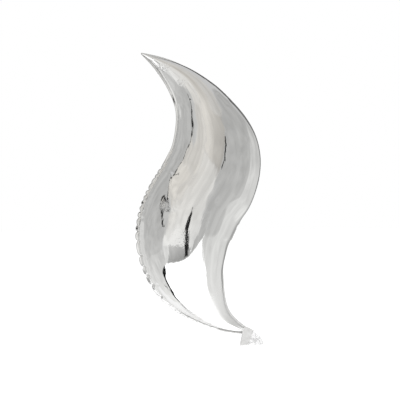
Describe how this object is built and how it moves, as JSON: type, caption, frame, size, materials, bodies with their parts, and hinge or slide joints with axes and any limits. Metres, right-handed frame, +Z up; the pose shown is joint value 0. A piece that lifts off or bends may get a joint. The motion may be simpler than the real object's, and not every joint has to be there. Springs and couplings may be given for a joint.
{
  "type": "mermaid tail foil balloon",
  "caption": "Inflated silver foil balloon in an S-curved fluke shape: sealed film panels, a puckered seam, and a flat tail tab that holds a clear filling valve.",
  "frame": {"origin": "centre of the gas space, which is the balloon's centre of buoyancy, in the plane of the seam", "axes": "+Z up with the pointed tip on top, -Y towards the front film, the seam in the XZ plane, the tail tab towards +X"},
  "size_m": [0.3773, 0.2504, 0.8405],
  "materials": {
    "silver_foil": "mirror-bright metalised film, finely creased near the seam",
    "tab_foil": "metalised film, slack and crumpled, half gloss",
    "valve_film": "clear crinkled polyethylene film"
  },
  "bodies": {
    "balloon": {"front_film": "silver_foil", "back_film": "silver_foil"},
    "tail": {"tail_front_ply": "tab_foil", "tail_back_ply": "tab_foil", "valve_front_film": "valve_film", "valve_back_film": "valve_film"}
  },
  "joints": [
    {"name": "tail_fold", "type": "hinge", "parent": "balloon", "child": "tail", "pos_m": [0.138, 0, -0.378], "axis": [0.3827, 0, 0.9239], "range_deg": [-120, 120]}
  ]
}
